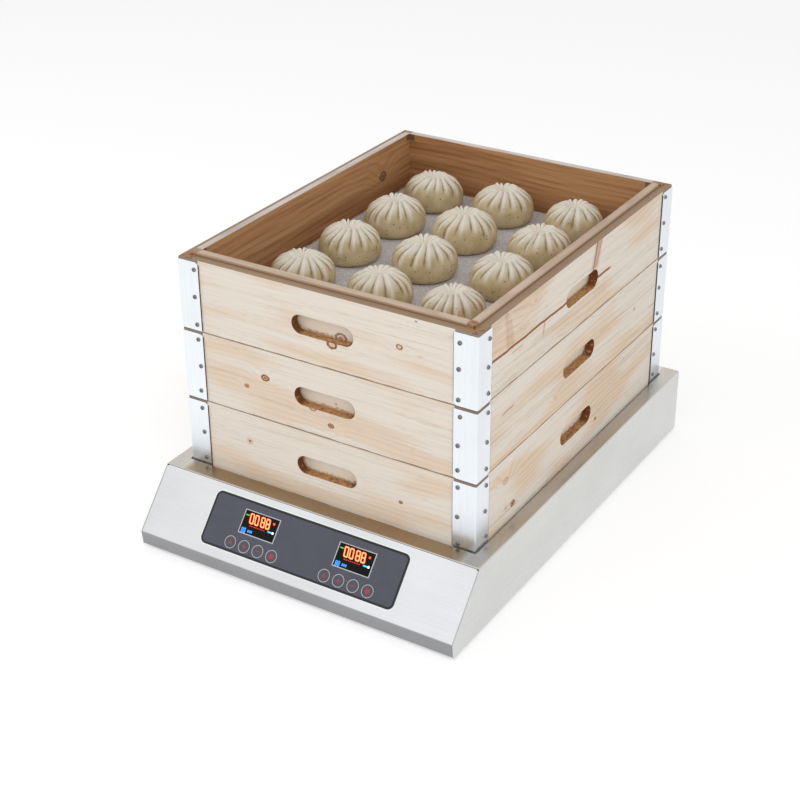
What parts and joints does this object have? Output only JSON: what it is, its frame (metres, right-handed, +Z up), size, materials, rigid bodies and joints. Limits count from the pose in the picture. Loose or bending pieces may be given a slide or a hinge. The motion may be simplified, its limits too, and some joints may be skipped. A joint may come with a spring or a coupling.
{
  "type": "dumpling steamer",
  "caption": "Electric counter steamer: stacked rectangular fir trays with steel corner angles over a stainless water base with sloping control panel, top tray open with filled buns.",
  "frame": {"origin": "on the counter plane, under the middle of the whole outline, which is also the trays' centre", "axes": "+Z up, the control panel faces -Y, +X to the viewer's right, +Y to the drain and the cable gland"},
  "size_m": [0.444, 0.67, 0.3698],
  "materials": {
    "fir": "planed, unvarnished, dry outside",
    "fir_floor": "planed, damp from steam",
    "angle_steel": "bright, lightly brushed",
    "screw_steel": "plain bright steel",
    "cloth": "fine woven cotton, damp",
    "dough": "steamed dough, soft satin",
    "shell_steel": "brushed along the width",
    "tank_steel": "plain mill finish",
    "foot_rubber": "matt",
    "element_sheath": "heat-darkened steel sheath",
    "fitting_brass": "turned brass",
    "dark_plastic": "moulded, matt black",
    "pale_plastic": "moulded, cream",
    "valve_metal": "nickel-plated brass",
    "lever_coat": "dipped red coating",
    "overlay_film": "printed film, satin",
    "bezel_metal": "bright anodised",
    "display_window": "smoked, glossy",
    "circuit_board": "green lacquer",
    "wire_sheath": "flexible sheath",
    "key_plastic": "moulded, dark grey with a light printed ring",
    "float_plastic": "moulded, off-white"
  },
  "bodies": {
    "base": {"top_shell": "shell_steel", "front_fascia": "shell_steel", "bottom_plate": "shell_steel", "rubber_feet": "foot_rubber", "base_screws": "screw_steel", "water_tank": "tank_steel", "heating_elements": "element_sheath", "element_fittings": "fitting_brass", "element_rests": "tank_steel", "float_stem": "tank_steel", "thermostats": "dark_plastic", "temperature_probes": "tank_steel", "drain_pipe": "tank_steel", "drain_valve_body": "valve_metal", "gland_body": "dark_plastic", "gland_nuts": "dark_plastic", "control_overlay": "overlay_film", "display_bezels": "bezel_metal", "display_lenses": "display_window", "display_modules": "dark_plastic", "control_boards": "circuit_board", "board_standoffs": "fitting_brass", "tact_switches": "dark_plastic", "terminal_block": "pale_plastic", "power_relays": "dark_plastic", "wiring": "wire_sheath"},
    "tray_1": {"tray_1_end_boards": "fir", "tray_1_side_boards": "fir", "tray_1_corner_angles": "angle_steel", "tray_1_angle_screws": "screw_steel", "tray_1_floor_battens": "fir_floor", "tray_1_floor_slats": "fir_floor", "tray_1_steamer_cloth": "cloth"},
    "tray_2": {"tray_2_end_boards": "fir", "tray_2_side_boards": "fir", "tray_2_corner_angles": "angle_steel", "tray_2_angle_screws": "screw_steel", "tray_2_floor_battens": "fir_floor", "tray_2_floor_slats": "fir_floor", "tray_2_steamer_cloth": "cloth"},
    "tray_3": {"tray_3_end_boards": "fir", "tray_3_side_boards": "fir", "tray_3_corner_angles": "angle_steel", "tray_3_angle_screws": "screw_steel", "tray_3_floor_battens": "fir_floor", "tray_3_floor_slats": "fir_floor", "tray_3_steamer_cloth": "cloth", "buns": "dough"},
    "key_left_1_cap": {"key_left_1": "key_plastic"},
    "key_left_2_cap": {"key_left_2": "key_plastic"},
    "key_left_3_cap": {"key_left_3": "key_plastic"},
    "key_left_4_cap": {"key_left_4": "key_plastic"},
    "key_right_1_cap": {"key_right_1": "key_plastic"},
    "key_right_2_cap": {"key_right_2": "key_plastic"},
    "key_right_3_cap": {"key_right_3": "key_plastic"},
    "key_right_4_cap": {"key_right_4": "key_plastic"},
    "level_float": {"water_float": "float_plastic"},
    "drain_handle": {"drain_lever": "lever_coat", "drain_ball": "valve_metal", "lever_nut": "screw_steel"}
  },
  "joints": [
    {"name": "tray_1_lift", "type": "slide", "parent": "base", "child": "tray_1", "axis": [0, 0, 1], "range_m": [0, 0.12]},
    {"name": "tray_2_lift", "type": "slide", "parent": "tray_1", "child": "tray_2", "axis": [0, 0, 1], "range_m": [0, 0.12]},
    {"name": "tray_3_lift", "type": "slide", "parent": "tray_2", "child": "tray_3", "axis": [0, 0, 1], "range_m": [0, 0.12]},
    {"name": "key_left_1_press", "type": "slide", "parent": "base", "child": "key_left_1_cap", "axis": [0, 0.7498, -0.6616], "range_m": [0, 0.0006], "stiffness_N_per_m": 1500, "springref_m": -0.0004},
    {"name": "key_left_2_press", "type": "slide", "parent": "base", "child": "key_left_2_cap", "axis": [0, 0.7498, -0.6616], "range_m": [0, 0.0006], "stiffness_N_per_m": 1500, "springref_m": -0.0004},
    {"name": "key_left_3_press", "type": "slide", "parent": "base", "child": "key_left_3_cap", "axis": [0, 0.7498, -0.6616], "range_m": [0, 0.0006], "stiffness_N_per_m": 1500, "springref_m": -0.0004},
    {"name": "key_left_4_press", "type": "slide", "parent": "base", "child": "key_left_4_cap", "axis": [0, 0.7498, -0.6616], "range_m": [0, 0.0006], "stiffness_N_per_m": 1500, "springref_m": -0.0004},
    {"name": "key_right_1_press", "type": "slide", "parent": "base", "child": "key_right_1_cap", "axis": [0, 0.7498, -0.6616], "range_m": [0, 0.0006], "stiffness_N_per_m": 1500, "springref_m": -0.0004},
    {"name": "key_right_2_press", "type": "slide", "parent": "base", "child": "key_right_2_cap", "axis": [0, 0.7498, -0.6616], "range_m": [0, 0.0006], "stiffness_N_per_m": 1500, "springref_m": -0.0004},
    {"name": "key_right_3_press", "type": "slide", "parent": "base", "child": "key_right_3_cap", "axis": [0, 0.7498, -0.6616], "range_m": [0, 0.0006], "stiffness_N_per_m": 1500, "springref_m": -0.0004},
    {"name": "key_right_4_press", "type": "slide", "parent": "base", "child": "key_right_4_cap", "axis": [0, 0.7498, -0.6616], "range_m": [0, 0.0006], "stiffness_N_per_m": 1500, "springref_m": -0.0004},
    {"name": "float_rise", "type": "slide", "parent": "base", "child": "level_float", "axis": [0, 0, 1], "range_m": [0, 0.012]},
    {"name": "drain_turn", "type": "hinge", "parent": "base", "child": "drain_handle", "pos_m": [-0.15, 0.297, 0.0342], "axis": [0, 0, 1], "range_deg": [0, 90]}
  ]
}
